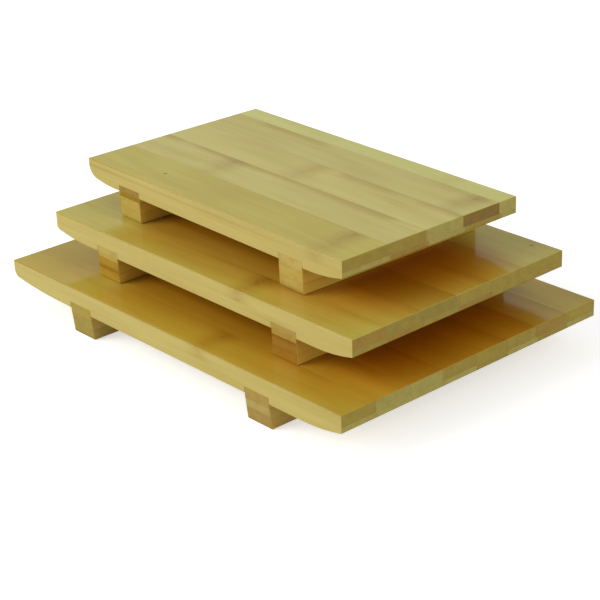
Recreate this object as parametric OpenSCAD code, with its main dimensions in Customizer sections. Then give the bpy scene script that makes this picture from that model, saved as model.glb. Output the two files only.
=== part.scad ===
// Stacked set of bamboo geta boards for serving sushi: a small board on a medium one on a large one.
// Each board is a slab of two plies of edge-glued staves, standing on two cross feet.
// X runs along the boards, Y across them with the front at -Y, and Z up from the floor.
// The origin is on the floor under the middle of the large board.

/* [Small board] */
// Length of the small board
small_length = 212; // [180:1:225]
// Width of the small board
small_width = 121.5; // [100:0.5:130]
// Staves in each of its plies
small_staves = 5; // [3:1:6]
// Width of the front stave of its upper ply
small_front_stave = 30; // [20:0.5:40]
// Width of the back stave of its upper ply
small_back_stave = 13.5; // [8:0.5:30]
// How far its left end reaches past the foot
small_left_overhang = 28.5; // [15:0.5:45]
// How far its right end reaches past the foot
small_right_overhang = 29.5; // [15:0.5:45]
// Length of the curve under its left end
small_left_sweep = 24; // [10:0.5:40]
// Length of the curve under its right end
small_right_sweep = 26; // [10:0.5:40]
// Radius under its left tip
small_left_tip_round = 8; // [0.5:0.1:8.5]
// How far its foot ends lean in at the bottom
small_foot_rake = 0.2; // [0:0.1:5]
// Radius along the back edge of its top
small_back_round = 1.5; // [0.5:0.1:4]

/* [Medium board] */
// Length of the medium board
medium_length = 241.5; // [210:0.5:255]
// Width of the medium board
medium_width = 150; // [130:1:165]
// Staves in each of its plies
medium_staves = 6; // [3:1:7]
// Width of the front stave of its upper ply
medium_front_stave = 21.5; // [12:0.5:40]
// Width of the back stave of its upper ply
medium_back_stave = 31; // [12:0.5:40]
// How far its left end reaches past the foot
medium_left_overhang = 39; // [20:0.5:55]
// How far its right end reaches past the foot
medium_right_overhang = 40; // [20:0.5:55]
// Length of the curve under its left end
medium_left_sweep = 30; // [10:0.5:50]
// Length of the curve under its right end
medium_right_sweep = 26; // [10:0.5:50]
// Radius under its left tip
medium_left_tip_round = 5; // [0.5:0.1:8.5]
// How far its foot ends lean in at the bottom
medium_foot_rake = 0.4; // [0:0.1:5]
// Radius along the back edge of its top
medium_back_round = 0.8; // [0.5:0.1:4]

/* [Large board] */
// Length of the large board
large_length = 270; // [240:1:300]
// Width of the large board
large_width = 181; // [165:1:200]
// Staves in each of its plies
large_staves = 8; // [3:1:9]
// Width of the front stave of its upper ply
large_front_stave = 22; // [12:0.5:40]
// Width of the back stave of its upper ply
large_back_stave = 23.5; // [12:0.5:40]
// How far its left end reaches past the foot
large_left_overhang = 54; // [25:0.5:70]
// How far its right end reaches past the foot
large_right_overhang = 51.5; // [25:0.5:70]
// Length of the curve under its left end
large_left_sweep = 44; // [10:0.5:65]
// Length of the curve under its right end
large_right_sweep = 28; // [10:0.5:65]
// Radius under its left tip
large_left_tip_round = 4.5; // [0.5:0.1:8.5]
// How far its foot ends lean in at the bottom
large_foot_rake = 1.5; // [0:0.1:5]
// Radius along the back edge of its top
large_back_round = 0.8; // [0.5:0.1:4]

/* [Slab] */
// Thickness of one ply
ply_t = 6.25; // [5:0.05:8]
// Thickness of the slab at the tips of its swept-up ends
tip_t = 9.2; // [7:0.1:9.8]
// Shift of the under ply's glue lines from the upper ply's
ply_stagger = 1.5; // [0:0.1:4]
// Radius under the right tips
right_tip_round = 0.8; // [0.5:0.1:6]
// Radius along the front edge of each top
front_round = 0.8; // [0.3:0.1:2]
// Radius along the end edges of each top
end_round = 0.6; // [0.3:0.1:2]

/* [Feet] */
// Width of a foot along the board
foot_w = 18.2; // [14:0.2:26]
// Thickness of one slat of a foot
slat_t = 6.05; // [4.5:0.05:8]
// Depth of the housing that holds a foot in the under ply
housing_depth = 3.55; // [1:0.05:4.5]
// Clearance on each side of a foot in its housing
housing_clearance = 0.15; // [0.05:0.05:0.4]
// Radius along the lower edges of a foot
foot_round = 0.6; // [0.3:0.1:2]

/* [Stack] */
// Shift of the medium board along the large one
medium_shift_x = 0.7; // [-8:0.1:8]
// Shift of the medium board across the large one
medium_shift_y = 5.2; // [-8:0.1:8]
// Shift of the small board along the large one
small_shift_x = -8.2; // [-12:0.1:12]
// Shift of the small board across the large one
small_shift_y = 11.2; // [-12:0.1:12]
// Turn of the small board on the stack, in degrees
small_turn = -1.3; // [-3:0.1:3]

/* [Hidden] */
$fn = 180;

// Boards in stacking order, and the values of each
BOARDS = ["large", "medium", "small"];
LARGE = 0;
MEDIUM = 1;
SMALL = 2;
LENGTH = [large_length, medium_length, small_length];
WIDTH = [large_width, medium_width, small_width];
STAVES = [large_staves, medium_staves, small_staves];
FRONT_STAVE = [large_front_stave, medium_front_stave, small_front_stave];
BACK_STAVE = [large_back_stave, medium_back_stave, small_back_stave];
LEFT_OVERHANG = [large_left_overhang, medium_left_overhang, small_left_overhang];
RIGHT_OVERHANG = [large_right_overhang, medium_right_overhang, small_right_overhang];
LEFT_SWEEP = [large_left_sweep, medium_left_sweep, small_left_sweep];
RIGHT_SWEEP = [large_right_sweep, medium_right_sweep, small_right_sweep];
LEFT_TIP_ROUND = [large_left_tip_round, medium_left_tip_round, small_left_tip_round];
FOOT_RAKE = [large_foot_rake, medium_foot_rake, small_foot_rake];
BACK_ROUND = [large_back_round, medium_back_round, small_back_round];
SHIFT = [[0, 0], [medium_shift_x, medium_shift_y], [small_shift_x, small_shift_y]];
TURN = [0, 0, small_turn];

// Sides of a board, slats of a foot from the floor up, and plies from the feet up
SIDES = ["left", "right"];
LEFT = 0;
SLATS = ["lower", "middle", "upper"];
PLIES = ["under", "upper"];
UPPER_PLY = 1;

slab_t = len(PLIES) * ply_t;
tip_rise = slab_t - tip_t;
foot_full_h = len(SLATS) * slat_t;
foot_h = foot_full_h - housing_depth;
board_h = foot_h + slab_t;

// Overlap of cutting tools past the faces that they cut
cut = 1;
// How far a round dips past the line that it runs out of, so that the two cross
dip = 0.05;
// Length of slab left flat beside a foot where the end curve would reach it
flat_by_foot = 0.5;

STAVE_TONES = ["#d8c585", "#cdb571", "#d3bd79", "#c6ab66"];
SLAT_TONES = ["#c9a25a", "#d6b56c", "#b98e4a"];

function stave_node(b, ply, i) = str(BOARDS[b], "_", PLIES[ply], "_stave_", i + 1);
function slat_node(b, side, k) = str(BOARDS[b], "_", SIDES[side], "_foot_", SLATS[k], "_slat");

// Distance of the i-th glue line of a ply from the board's front face
function stave_pitch(b) = (WIDTH[b] - FRONT_STAVE[b] - BACK_STAVE[b]) / (STAVES[b] - 2);
function inner_line(b, ply, i) =
    FRONT_STAVE[b] + (i - 1) * stave_pitch(b) + (ply == UPPER_PLY ? 0 : ply_stagger);
function glue_line(b, ply, i) = i == 0 ? 0 : i == STAVES[b] ? WIDTH[b] : inner_line(b, ply, i);

// Curve under an end: its length, limited by the foot, and the radius that lifts the tip
function sweep_length(sweep, overhang) = min(sweep, overhang - housing_clearance - flat_by_foot);
function sweep_radius(len) = (len * len + pow(tip_rise + dip, 2)) / (2 * (tip_rise + dip));
function sweep_height(len, along) = sweep_radius(len) - dip - sqrt(pow(sweep_radius(len), 2) - along * along);
function tip_radius(round) = min(round, tip_t - end_round);

// Place of a foot's middle along the board
function foot_middle(b, side) =
    side == LEFT
        ? LEFT_OVERHANG[b] + (foot_w - LENGTH[b]) / 2
        : (LENGTH[b] - foot_w) / 2 - RIGHT_OVERHANG[b];

// Corner of material outside a quarter round of radius r, with the round's centre at the origin
module corner_waste(r) {
    difference() {
        square(r + cut);
        circle(r);
    }
}

// Half of a slab's side outline, from the middle of the board to one end
module half_outline(b, sweep, overhang, round) {
    half = LENGTH[b] / 2;
    len = sweep_length(sweep, overhang);
    big = sweep_radius(len);
    r = tip_radius(round);
    difference() {
        intersection() {
            square([half, slab_t]);
            union() {
                square([half - len, slab_t]);
                translate([half - len, big - dip]) circle(big);
            }
        }
        translate([half - r, sweep_height(len, len - r) + r - dip])
            mirror([0, 1]) corner_waste(r);
        translate([half - end_round, slab_t - end_round]) corner_waste(end_round);
    }
}

// Side outline of a slab, with its underside on the X axis
module slab_outline(b) {
    half_outline(b, RIGHT_SWEEP[b], RIGHT_OVERHANG[b], right_tip_round);
    mirror([1, 0]) half_outline(b, LEFT_SWEEP[b], LEFT_OVERHANG[b], LEFT_TIP_ROUND[b]);
}

// Bar with a slab's end outline: the front and back edges of the top are rounded
module edge_bar(b) {
    half = WIDTH[b] / 2;
    rotate([90, 0, 90])
        linear_extrude(LENGTH[b] + 2 * cut, center = true)
            difference() {
                translate([-half, -cut]) square([WIDTH[b], slab_t + cut]);
                translate([half - BACK_ROUND[b], slab_t - BACK_ROUND[b]])
                    corner_waste(BACK_ROUND[b]);
                mirror([1, 0])
                    translate([half - front_round, slab_t - front_round])
                        corner_waste(front_round);
            }
}

// One stave of a ply: the slab's outline within that ply, as wide as the stave
module stave_blank(b, ply, i) {
    near = glue_line(b, ply, i) - WIDTH[b] / 2;
    far = glue_line(b, ply, i + 1) - WIDTH[b] / 2;
    translate([0, far, 0])
        rotate([90, 0, 0])
            linear_extrude(far - near)
                intersection() {
                    slab_outline(b);
                    translate([-LENGTH[b], ply * ply_t]) square([2 * LENGTH[b], ply_t]);
                }
}

// Housings for both feet, cut upwards into the slab's underside
module housings(b) {
    housing_w = foot_w + 2 * housing_clearance;
    for (side = [0 : len(SIDES) - 1])
        translate([foot_middle(b, side) - housing_w / 2, -WIDTH[b] / 2 - cut, -cut])
            cube([housing_w, WIDTH[b] + 2 * cut, housing_depth + cut]);
}

module upper_stave(b, i) {
    color(STAVE_TONES[i % len(STAVE_TONES)])
        on_stack(b)
            translate([0, 0, foot_h])
                if (i == 0 || i == STAVES[b] - 1)
                    intersection() {
                        stave_blank(b, UPPER_PLY, i);
                        edge_bar(b);
                    }
                else
                    stave_blank(b, UPPER_PLY, i);
}

module under_stave(b, i) {
    color(STAVE_TONES[(i + 1) % len(STAVE_TONES)])
        on_stack(b)
            translate([0, 0, foot_h])
                difference() {
                    stave_blank(b, 0, i);
                    housings(b);
                }
}

// End outline of a foot: upright where it is housed, leaning in below the slab
module foot_outline(b) {
    half = WIDTH[b] / 2;
    foot = half - FOOT_RAKE[b];
    polygon([
        [-half, foot_full_h], [-half, foot_h], [-foot, 0],
        [foot, 0], [half, foot_h], [half, foot_full_h]
    ]);
}

// Side outline of a foot, with its lower edges rounded
module foot_bar(b) {
    half = foot_w / 2;
    rotate([90, 0, 0])
        linear_extrude(WIDTH[b] + 2 * cut, center = true)
            difference() {
                translate([-half, 0]) square([foot_w, foot_full_h]);
                for (turn = [0, 1])
                    mirror([turn, 0])
                        translate([half - foot_round, foot_round])
                            mirror([0, 1]) corner_waste(foot_round);
            }
}

module foot_slat(b, side, k) {
    color(SLAT_TONES[k])
        on_stack(b)
            translate([foot_middle(b, side), 0, 0])
                intersection() {
                    foot_bar(b);
                    rotate([90, 0, 90])
                        linear_extrude(foot_w + 2 * cut, center = true)
                            intersection() {
                                foot_outline(b);
                                translate([-WIDTH[b], k * slat_t]) square([2 * WIDTH[b], slat_t]);
                            }
                }
}

// Place of a board on the stack
module on_stack(b) {
    translate([SHIFT[b][0], SHIFT[b][1], b * board_h]) rotate([0, 0, TURN[b]]) children();
}

for (b = [LARGE, MEDIUM, SMALL]) {
    for (i = [0 : STAVES[b] - 1]) {
        under_stave(b, i);
        upper_stave(b, i);
    }
    for (side = [0 : len(SIDES) - 1]) {
        for (k = [0 : len(SLATS) - 1]) {
            foot_slat(b, side, k);
        }
    }
}
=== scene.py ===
"""Dress the stacked set of bamboo geta boards: staved slabs and slatted feet in lacquered bamboo.

Each board is made as its maker would make it. One slab is shaped, its ends are swept up and its edges are
rounded. It is then sawn into two plies, the under ply is housed for the feet, and each ply is sawn into
staves. All sizes are metres unless a name says otherwise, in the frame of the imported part.
"""

import logging
import math
from contextlib import contextmanager
from dataclasses import dataclass
from enum import Enum
from itertools import count
from typing import Callable, Iterator, Optional, Union

import bmesh
import bpy
from mathutils import Matrix, Vector


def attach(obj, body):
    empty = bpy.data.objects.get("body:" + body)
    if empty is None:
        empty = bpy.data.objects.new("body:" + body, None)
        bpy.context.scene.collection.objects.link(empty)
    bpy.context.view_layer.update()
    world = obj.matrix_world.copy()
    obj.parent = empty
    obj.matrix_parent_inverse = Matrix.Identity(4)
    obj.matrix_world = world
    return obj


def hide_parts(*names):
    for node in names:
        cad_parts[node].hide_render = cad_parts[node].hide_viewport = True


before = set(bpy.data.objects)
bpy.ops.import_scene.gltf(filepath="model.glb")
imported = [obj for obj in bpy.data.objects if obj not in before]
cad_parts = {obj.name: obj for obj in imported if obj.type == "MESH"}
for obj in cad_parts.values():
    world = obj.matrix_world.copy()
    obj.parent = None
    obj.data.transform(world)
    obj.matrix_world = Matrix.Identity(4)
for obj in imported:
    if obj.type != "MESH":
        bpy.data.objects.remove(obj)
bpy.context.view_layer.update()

log = logging.getLogger("geta_boards")

MM = 0.001

# Farther from the middle of a board than any place on it, in mm
FAR_AWAY = 10000.0

# Shape of every slab
TIP_THICKNESS = 9.2 * MM
RIGHT_TIP_ROUND = 0.8 * MM
FRONT_ROUND = 0.6 * MM
END_ROUND = 0.6 * MM
CORNER_EASE = 0.5 * MM
UNDER_EASE = 0.3 * MM
SWEEP_STATIONS = 14
ROUND_SEGMENTS = 6

# Shape of every foot
HOUSING_CLEARANCE = 0.15 * MM
FOOT_ROUND = 0.6 * MM
FOOT_EASE = 0.4 * MM
FOOT_TOE_ROUND = 0.9 * MM

# Sawn edges are knocked off with a scrap of paper before glueing
SAWN_EASE = 0.02 * MM
SAWN_ANGLE = math.radians(50)
SMOOTH_ANGLE = math.radians(35)
FLAT_ANGLE = math.radians(0.05)

# How near to a plane a corner or an edge lies to count as on it, and a corner to a cut to be part of it
NEAR = 0.01 * MM
CUT_NEAR = 0.001 * MM

Span = tuple[float, float]
Triple = tuple[float, float, float]
Colour = Triple
Value = Union[float, Triple, bpy.types.NodeSocket]
EdgeTest = Callable[[Vector, Vector], bool]


class Ply(Enum):
    """The two plies of a slab, as they are named in the part."""

    UNDER = "under"
    UPPER = "upper"


class Side(Enum):
    """The two feet of a board, as they are named in the part."""

    LEFT = "left"
    RIGHT = "right"


class Slat(Enum):
    """The slats of a foot from the floor up, as they are named in the part."""

    LOWER = "lower"
    MIDDLE = "middle"
    UPPER = "upper"


class EndGrain(Enum):
    """Colours that the cut end of a cane can have."""

    PALE = (0.44, 0.37, 0.073)
    OLIVE = (0.38, 0.28, 0.027)
    STRAW = (0.45, 0.335, 0.075)
    AMBER = (0.41, 0.27, 0.045)
    HONEY = (0.38, 0.235, 0.025)
    TAN = (0.385, 0.235, 0.022)
    BROWN = (0.275, 0.165, 0.013)
    RUSSET = (0.31, 0.16, 0.012)


class Cast(Enum):
    """Shares of red, green and blue that a cane's top has of the board's own colour."""

    CREAM = (1.0, 1.0, 1.0)
    GOLDEN = (0.97, 0.92, 0.60)
    GREEN = (0.98, 1.08, 1.14)


@dataclass(frozen=True)
class Cane:
    """Looks of one stave or slat.

    Attributes:
        end: Colour of its cut ends.
        shade: Its brightness against its neighbours.
        knuckle: Place of its knuckle along the grain, from the middle of the board in mm.
        depth: How dark the knuckle is.
        cast: Cast of its long grain on the board's top.
        lean: How much darker the long grain gets towards its far edge.
        rind: How much of its dense wall shows along that edge.
        end_lean: How much darker the cut end gets towards its near edge, or towards the far one below 0.
        speck: Place of a dark pin knot on the top, from the middle of the board in mm.
        streak: Place where a dark streak along its side ends, which comes from the left, in mm.
    """

    end: EndGrain = EndGrain.OLIVE
    shade: float = 1.0
    knuckle: Optional[float] = None
    depth: float = 0.6
    cast: Cast = Cast.CREAM
    lean: float = 0.15
    rind: float = 0.4
    end_lean: float = 0.0
    speck: Optional[Triple] = None
    streak: Optional[Triple] = None

    def shaded(self, colour: Colour) -> Colour:
        """Give a colour the cane's own brightness."""
        return tuple(x * self.shade for x in colour)

    def tinted(self, colour: Colour) -> Colour:
        """Give a colour of a top the cane's own brightness and cast."""
        return tuple(x * y for x, y in zip(self.shaded(colour), self.cast.value))


@dataclass(frozen=True)
class Lacquer:
    """Clear finish over the bamboo.

    Attributes:
        coat: Weight of the clear coat.
        coat_roughness: Roughness of the clear coat.
        under_gloss: Specular level of the bamboo below the coat.
        relief: Height of the grain below the coat.
        relief_strength: How strongly the relief turns the light.
    """

    coat: float = 0.45
    coat_roughness: float = 0.11
    under_gloss: float = 0.0
    relief: float = 0.03 * MM
    relief_strength: float = 0.5


@dataclass(frozen=True)
class Shade:
    """Painted shade where a board near above keeps daylight off a top and only warm light off its underside
    gets in.

    Its places are measured from the edges of the board above, in mm.

    Attributes:
        foot: The foot whose outer face it is measured from at the left.
        low: Its left and front edges, from that face and from the board's front edge.
        high: Its right and back edges, from the board's right and back edges.
        low_margin: How far it fades out to each side of its left and front edges.
        high_margin: How far it fades out to each side of its right and back edges.
        colour: Painted colour of the long grain in that shade and warm light.
    """

    foot: Side
    low: Triple
    high: Triple
    low_margin: Triple
    high_margin: Triple
    colour: Colour


@dataclass(frozen=True)
class Cover:
    """A painted shade laid out on the top of a board.

    Attributes:
        low: Its corner at the left and front, from the middle of the board in mm.
        high: Its corner at the right and back.
        shade: The shade, with its colour and how far it fades out.
    """

    low: Triple
    high: Triple
    shade: Shade


@dataclass(frozen=True)
class Figure:
    """Bamboo's figure, with sizes along, across and through the cane in mm.

    Attributes:
        fibre_size: Size of the fine fibres.
        fibre_strength: How strongly the fibres show.
        drift_size: Size of the slow drifts of tone.
        drift_strength: How strongly the drifts show.
        rind_size: Size of the stretches where the cane's dense wall shows along its far edge.
        rind_start: Share of the cane's width at which the dense wall starts.
        rind_strength: How strongly the dense wall shows.
        bundle_size: Size of the fibre bundles, which show as pores on a cut end.
        mottle_size: Size of the clouds on a cut end.
        wander_size: Size of the waves in the line of a knuckle.
        wander: How far the waves carry that line along the cane.
        fleck_size: Size of the short marks that make up a knuckle.
        band: How far the marks reach to each side of the line.
        halo: How far the stain round them reaches.
        glue_width: How far a glue line stains its cane.
    """

    fibre_size: Triple = (70.0, 1.1, 1.1)
    fibre_strength: float = 0.6
    drift_size: Triple = (60.0, 10.0, 10.0)
    drift_strength: float = 0.9
    rind_size: Triple = (55.0, 40.0, 40.0)
    rind_start: float = 0.7
    rind_strength: float = 0.65
    bundle_size: Triple = (160.0, 0.95, 0.95)
    mottle_size: Triple = (40.0, 4.5, 4.5)
    wander_size: Triple = (40.0, 8.0, 8.0)
    wander: float = 6.0
    fleck_size: Triple = (6.0, 0.9, 0.9)
    band: float = 7.0
    halo: float = 13.0
    glue_width: float = 0.45


WHITE: Colour = (1.0, 1.0, 1.0)

# Long grain of the staves and of the feet
LONG_GRAIN: Colour = (0.60, 0.508, 0.145)
FOOT_GRAIN: Colour = (0.71, 0.485, 0.08)

# What is left of the bamboo's colour in the marks on it
DEEP_GRAIN: Colour = (0.74, 0.62, 0.38)
KNUCKLE_STAIN: Colour = (0.62, 0.44, 0.22)
GLUE_STAIN: Colour = (0.62, 0.50, 0.32)
PORE_STAIN: Colour = (0.66, 0.56, 0.42)
CLOUD_STAIN: Colour = (0.92, 0.88, 0.80)
# Colour that a cut end takes towards its darker edge
END_LEAN_TONE: Colour = (0.74, 0.58, 0.36)
# Painted shade on the round of the front top edge, which darkens the highlight that it catches
ARRIS_PAINTED_SHADE: Colour = (0.80, 0.72, 0.52)

# How strongly each mark shows, and what is left of a knuckle at its cane's near edge
HALO_STRENGTH = 0.6
GLUE_STRENGTH = 0.25
PORE_STRENGTH = 0.6
NEAR_KNUCKLE = 0.5

# Octaves of finer noise in the fibres, the drifts and the clouds
FIBRE_DETAIL = 3.0
DRIFT_DETAIL = 1.5
CLOUD_DETAIL = 2.0

# Mean of a noise, and the middle of a cane as a share of its width
NOISE_MEAN = 0.5
CANE_MIDDLE = 0.5

# Where each mark starts and where it is full, as a value of its noise or of the sum of all streaks
STRETCH_SPAN: Span = (0.42, 0.60)
FLECK_SPAN: Span = (0.45, 0.62)
PORE_SPAN: Span = (0.38, 0.12)
CLOUD_SPAN: Span = (0.35, 0.68)
GRAIN_SPAN: Span = (-0.5, 0.9)

# Where a face starts to count as a cut end, as the top, as a round below it and as the front, and where
# it fully does, as a part of its normal
END_SPAN: Span = (0.55, 0.85)
TOP_SPAN: Span = (0.2, 0.7)
# A round below the top that faces the front takes the painted shade on the front arris
ABOVE_FRONT_SPAN: Span = (0.05, 0.45)
BELOW_TOP_SPAN: Span = (0.98, 0.75)
FRONT_SPAN: Span = (-0.1, -0.5)

# Roughness of long grain and of cut ends below the coat, and how much it varies with the fibres
GRAIN_ROUGHNESS = 0.34
END_ROUGHNESS = 0.46
ROUGHNESS_SPREAD = 0.16

# Half width of a pin knot in mm, and its colour
SPECK_RADIUS = 0.85
SPECK_COLOUR: Colour = (0.20, 0.145, 0.03)

# How far a streak reaches to the left, up and down, and through in mm, how it fades out, and its colour
STREAK_SPREAD: Triple = (400.0, 0.5, FAR_AWAY)
STREAK_MARGIN: Triple = (35.0, 0.9, 1.0)
STREAK_COLOUR: Colour = (0.52, 0.40, 0.10)

# The shade that these numbers gate is painted into the colour of the top
# A board shades the top below it while it is this near, from where the top sees this share of open sky
# and fully from the other share on
SHADE_HEIGHT = 60 * MM
OPEN_SKY = 0.99
SHADED_SKY = 0.86
OCCLUSION_SAMPLES = 8

# Stride between the patterns of two canes, in mm
SEED_STRIDE: Triple = (173.0, 61.0, 29.0)

# Turn from a board's own frame to that of a cane with its grain across the board
GRAIN_ACROSS = Matrix(((0, 1, 0), (0, 0, 1), (1, 0, 0)))


@contextmanager
def editing(piece: bpy.types.Object) -> Iterator[None]:
    """Open one piece for editing, with all of it selected, and close it again.

    Args:
        piece: The piece to edit.
    """
    choose(piece)
    bpy.ops.object.mode_set(mode="EDIT")
    bpy.ops.mesh.select_mode(type="VERT")
    bpy.ops.mesh.select_all(action="SELECT")
    yield
    bpy.ops.object.mode_set(mode="OBJECT")


def choose(piece: bpy.types.Object) -> None:
    """Make one piece the only selected and the active one."""
    bpy.ops.object.select_all(action="DESELECT")
    piece.select_set(True)
    bpy.context.view_layer.objects.active = piece


def block(name: str, low: Vector, high: Vector) -> bpy.types.Object:
    """Add a block of wood at its size and place.

    Args:
        name: Name of the new piece.
        low: Its lowest corner.
        high: Its highest corner.

    Returns:
        The block, with its place in its mesh.
    """
    bpy.ops.object.select_all(action="DESELECT")
    bpy.ops.mesh.primitive_cube_add(size=1, location=(low + high) / 2, scale=high - low)
    piece = bpy.context.object
    piece.name = name
    bpy.ops.object.transform_apply(location=True, rotation=True, scale=True)
    return piece


def copy_of(piece: bpy.types.Object, name: str) -> bpy.types.Object:
    """Copy a piece together with its mesh.

    Args:
        piece: The piece to copy.
        name: Name of the copy.

    Returns:
        The copy.
    """
    choose(piece)
    bpy.ops.object.duplicate()
    twin = bpy.context.object
    twin.name = name
    return twin


def discard(piece: bpy.types.Object) -> None:
    """Take away a blank or a cutter that has been used."""
    bpy.data.objects.remove(piece, do_unlink=True)


def pick_corners(piece: bpy.types.Object, wanted: Callable[[Vector], bool]) -> None:
    """Select the corners of the piece being edited that pass a test of their place.

    Args:
        piece: The piece that is open for editing.
        wanted: Says whether a corner at a place is selected.
    """
    bpy.ops.mesh.select_mode(type="VERT")
    bpy.ops.mesh.select_all(action="DESELECT")
    mesh = bmesh.from_edit_mesh(piece.data)
    for corner in mesh.verts:
        corner.select = wanted(corner.co)
    mesh.select_flush_mode()
    bmesh.update_edit_mesh(piece.data)


def pick_edges(piece: bpy.types.Object, wanted: EdgeTest) -> None:
    """Select the edges of the piece being edited whose two ends pass a test together.

    Args:
        piece: The piece that is open for editing.
        wanted: Says whether an edge between two places is selected.
    """
    bpy.ops.mesh.select_mode(type="EDGE")
    bpy.ops.mesh.select_all(action="DESELECT")
    mesh = bmesh.from_edit_mesh(piece.data)
    for edge in mesh.edges:
        edge.select = wanted(edge.verts[0].co, edge.verts[1].co)
    mesh.select_flush_mode()
    bmesh.update_edit_mesh(piece.data)


def score(place: Vector, normal: Vector) -> None:
    """Score a line of edges round the piece being edited, along a plane."""
    bpy.ops.mesh.select_all(action="SELECT")
    bpy.ops.mesh.bisect(plane_co=place, plane_no=normal, threshold=CUT_NEAR)


def saw(piece: bpy.types.Object, place: Vector, away: Vector) -> None:
    """Saw a piece through along a plane and keep one side.

    Args:
        piece: The piece to saw.
        place: A point on the plane of the cut.
        away: The direction of the waste, square to the plane.
    """
    with editing(piece):
        bpy.ops.mesh.bisect(
            plane_co=place, plane_no=away, use_fill=True, clear_outer=True, threshold=CUT_NEAR
        )


def modify(piece: bpy.types.Object, kind: str, **settings: object) -> None:
    """Add a modifier to a piece and apply it.

    Args:
        piece: The piece to change.
        kind: Type of the modifier.
        **settings: Values of the modifier.
    """
    choose(piece)
    bpy.ops.object.modifier_add(type=kind)
    modifier = piece.modifiers[-1]
    for setting, value in settings.items():
        setattr(modifier, setting, value)
    bpy.ops.object.modifier_apply(modifier=modifier.name)


def round_edges(piece: bpy.types.Object, rounds: list[tuple[float, EdgeTest]]) -> None:
    """Round chosen edges of a piece, each to its own radius.

    Args:
        piece: The piece to round.
        rounds: Radius of each round, with the test that picks its edges.
    """
    widest = max(radius for radius, _ in rounds)
    with editing(piece):
        bpy.ops.transform.edge_bevelweight(value=-1.0)
        for radius, wanted in rounds:
            pick_edges(piece, wanted)
            bpy.ops.transform.edge_bevelweight(value=radius / widest)
    modify(
        piece, "BEVEL", limit_method="WEIGHT", width=widest, segments=ROUND_SEGMENTS, use_clamp_overlap=False
    )


def smooth(piece: bpy.types.Object) -> None:
    """Knock off the sawn edges of a piece and shade its rounds smooth and its faces flat."""
    modify(
        piece, "BEVEL", limit_method="ANGLE", angle_limit=SAWN_ANGLE, width=SAWN_EASE, segments=1,
        use_clamp_overlap=False,
    )
    bpy.ops.object.shade_smooth_by_angle(angle=SMOOTH_ANGLE)
    modify(piece, "WEIGHTED_NORMAL", keep_sharp=True)


def on_plane(a: Vector, b: Vector, axis: int, place: float) -> bool:
    """Say whether both ends of an edge lie on a plane square to an axis."""
    return abs(a[axis] - place) < NEAR and abs(b[axis] - place) < NEAR


class Graph:
    """A shader node tree that nodes are added to, with their inputs given as values or as other sockets."""

    def __init__(self, tree: bpy.types.NodeTree) -> None:
        """Start from a tree's nodes and links."""
        self.nodes = tree.nodes
        self.links = tree.links

    def add(self, kind: str, inputs: Optional[dict] = None, **settings: object) -> bpy.types.Node:
        """Add a node.

        Args:
            kind: Type of the node.
            inputs: Values or sockets for its inputs, by name or number.
            **settings: Other properties of the node.

        Returns:
            The new node.
        """
        node = self.nodes.new(kind)
        for setting, value in settings.items():
            setattr(node, setting, value)
        for key, value in (inputs or {}).items():
            self.feed(node.inputs[key], value)
        return node

    def feed(self, socket: bpy.types.NodeSocket, value: Value) -> None:
        """Link a socket to an input, or set the input's own value."""
        if isinstance(value, bpy.types.NodeSocket):
            self.links.new(value, socket)
        elif socket.type == "RGBA":
            socket.default_value = (*value, 1.0)
        else:
            socket.default_value = value

    def sum(self, operation: str, *values: Value) -> bpy.types.NodeSocket:
        """Add a Math node of an operation and return its result."""
        return self.add("ShaderNodeMath", dict(enumerate(values)), operation=operation).outputs[0]

    def ramp(
        self, value: Value, start: Value, stop: Value, first: float = 0.0, last: float = 1.0
    ) -> bpy.types.NodeSocket:
        """Map a value smoothly from one range to another.

        Args:
            value: The value to map.
            start: Where the mapping starts.
            stop: Where it ends.
            first: Result at the start.
            last: Result at the end.

        Returns:
            The mapped value.
        """
        inputs = {0: value, 1: start, 2: stop, 3: first, 4: last}
        return self.add("ShaderNodeMapRange", inputs, interpolation_type="SMOOTHSTEP").outputs[0]

    def blend(self, share: Value, one: Value, other: Value, mode: str = "MIX") -> bpy.types.NodeSocket:
        """Mix two colours and return the result."""
        node = self.add("ShaderNodeMix", {0: share, 6: one, 7: other}, data_type="RGBA", blend_type=mode)
        return node.outputs[2]

    def stain(self, share: Value, colour: Value, stain: Colour) -> bpy.types.NodeSocket:
        """Let a share of a colour take up a stain and return the result."""
        return self.blend(share, colour, stain, "MULTIPLY")

    def vector(self, operation: str, *values: Value) -> bpy.types.NodeSocket:
        """Add a Vector Math node of an operation and return its result."""
        return self.add("ShaderNodeVectorMath", dict(enumerate(values)), operation=operation).outputs[0]

    def parts(self, vector: Value) -> list[bpy.types.NodeSocket]:
        """Take a vector apart and return its three parts."""
        return list(self.add("ShaderNodeSeparateXYZ", {0: vector}).outputs)

    def noise(self, place: Value, size: Triple, detail: float = 1.0) -> bpy.types.NodeSocket:
        """Add a noise that is drawn out along the grain.

        Args:
            place: Place along, across and through the cane, in mm.
            size: Size of the noise's lumps in each direction, in mm.
            detail: Octaves of finer noise.

        Returns:
            The noise, about 0.5 on average.
        """
        inputs = {"Vector": self.vector("DIVIDE", place, size), "Scale": 1.0, "Detail": detail}
        return self.add("ShaderNodeTexNoise", inputs).outputs[0]

    def swing(self, noise: Value, strength: float) -> bpy.types.NodeSocket:
        """Let a noise swing to both sides of 0 and return the result."""
        return self.sum("MULTIPLY", self.sum("SUBTRACT", noise, NOISE_MEAN), strength)


def fresh_graph(owner: Union[bpy.types.Material, bpy.types.World]) -> Graph:
    """Empty the node tree of a material or a world and return a graph to build it with."""
    owner.use_nodes = True
    owner.node_tree.nodes.clear()
    return Graph(owner.node_tree)


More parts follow.
